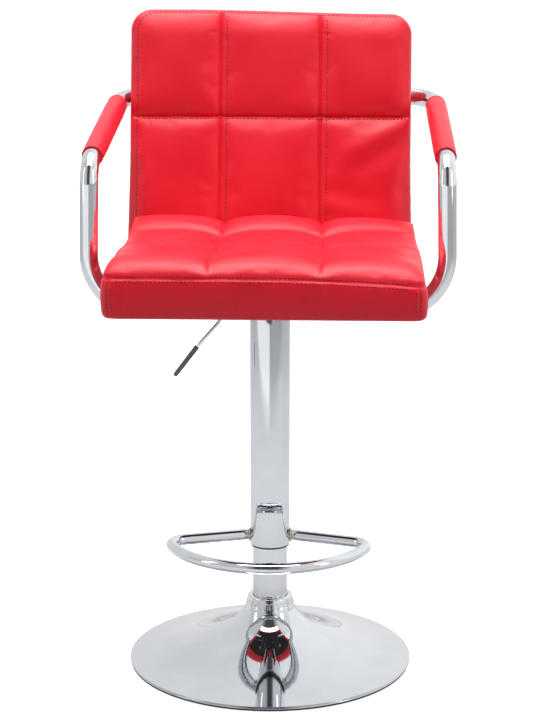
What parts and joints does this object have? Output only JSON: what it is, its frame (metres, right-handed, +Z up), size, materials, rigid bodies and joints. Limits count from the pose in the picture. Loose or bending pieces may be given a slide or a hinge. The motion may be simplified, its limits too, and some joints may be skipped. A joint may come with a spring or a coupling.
{
  "type": "adjustable swivel stool",
  "caption": "Gas-lift swivel bar stool with a quilted padded seat and back, tubular chrome arms, a D-shaped footrest and a round trumpet base.",
  "frame": {"origin": "centre of the floor pad's underside, on the column's axis and on the floor", "axes": "+Z up along the column; the seat faces -Y at rest, with the lever on the -X side"},
  "size_m": [0.5128, 0.4443, 0.936],
  "materials": {
    "floor_rubber": "matte",
    "chromed_steel": "polished",
    "chromed_plastic": "polished",
    "dark_chrome": "polished",
    "ballast_iron": "matte",
    "raw_steel": "satin",
    "black_steel": "satin",
    "black_nylon": "satin",
    "plywood": "matte",
    "black_cloth": "matte",
    "red_leatherette": "satin",
    "padded_leatherette": "satin"
  },
  "bodies": {
    "base": {"floor_pad": "floor_rubber", "trumpet_base": "chromed_steel", "base_ballast": "ballast_iron", "base_hub": "raw_steel", "base_collar": "chromed_plastic", "lower_column": "chromed_steel", "column_floor_plate": "raw_steel", "guide_bush": "black_nylon", "bearing_race_lower": "raw_steel", "bearing_ball_cage": "raw_steel"},
    "swivel_rod": {"piston_rod": "raw_steel", "piston": "black_nylon", "rod_clip": "raw_steel", "bearing_race_upper": "raw_steel"},
    "seat_unit": {"gas_cylinder": "black_steel", "cylinder_end_guide": "black_nylon", "outer_column": "chromed_steel", "glide_bush": "black_nylon", "column_head": "black_steel", "footrest": "chromed_steel", "seat_plate": "black_steel", "control_housing": "black_steel", "lever_pivot_pin": "raw_steel", "shell_board": "plywood", "underside_cover": "black_cloth", "rear_cover": "red_leatherette", "seat_pad": "padded_leatherette", "back_pad": "padded_leatherette", "arm_tube_left": "chromed_steel", "arm_tube_right": "chromed_steel", "arm_pad_left": "red_leatherette", "arm_pad_right": "red_leatherette", "plate_screw_1": "raw_steel", "plate_screw_2": "raw_steel", "plate_screw_3": "raw_steel", "plate_screw_4": "raw_steel", "arm_seat_screw_left_1": "raw_steel", "arm_seat_screw_left_2": "raw_steel", "arm_seat_screw_right_1": "raw_steel", "arm_seat_screw_right_2": "raw_steel", "arm_rear_screw_left_1": "raw_steel", "arm_rear_screw_left_2": "raw_steel", "arm_rear_screw_right_1": "raw_steel", "arm_rear_screw_right_2": "raw_steel"},
    "lever": {"lever_rod": "dark_chrome", "lever_grip": "dark_chrome"},
    "valve_pin": {"release_pin": "raw_steel"}
  },
  "joints": [
    {"name": "seat_swivel", "type": "hinge", "parent": "base", "child": "swivel_rod", "pos_m": [0, 0, 0], "axis": [0, 0, 1], "continuous": true},
    {"name": "seat_height", "type": "slide", "parent": "swivel_rod", "child": "seat_unit", "axis": [0, 0, 1], "range_m": [0, 0.21]},
    {"name": "lever_lift", "type": "hinge", "parent": "seat_unit", "child": "lever", "pos_m": [-0.024, 0, 0.53], "axis": [0, 1, 0], "range_deg": [0, 8], "stiffness_Nm_per_rad": 0.5, "springref_deg": -17.19},
    {"name": "pin_press", "type": "slide", "parent": "seat_unit", "child": "valve_pin", "axis": [0, 0, -1], "range_m": [0, 0.0032]}
  ],
  "couplings": [
    {"joint": "pin_press", "follows": "lever_lift", "m_per_rad": 0.0215}
  ]
}
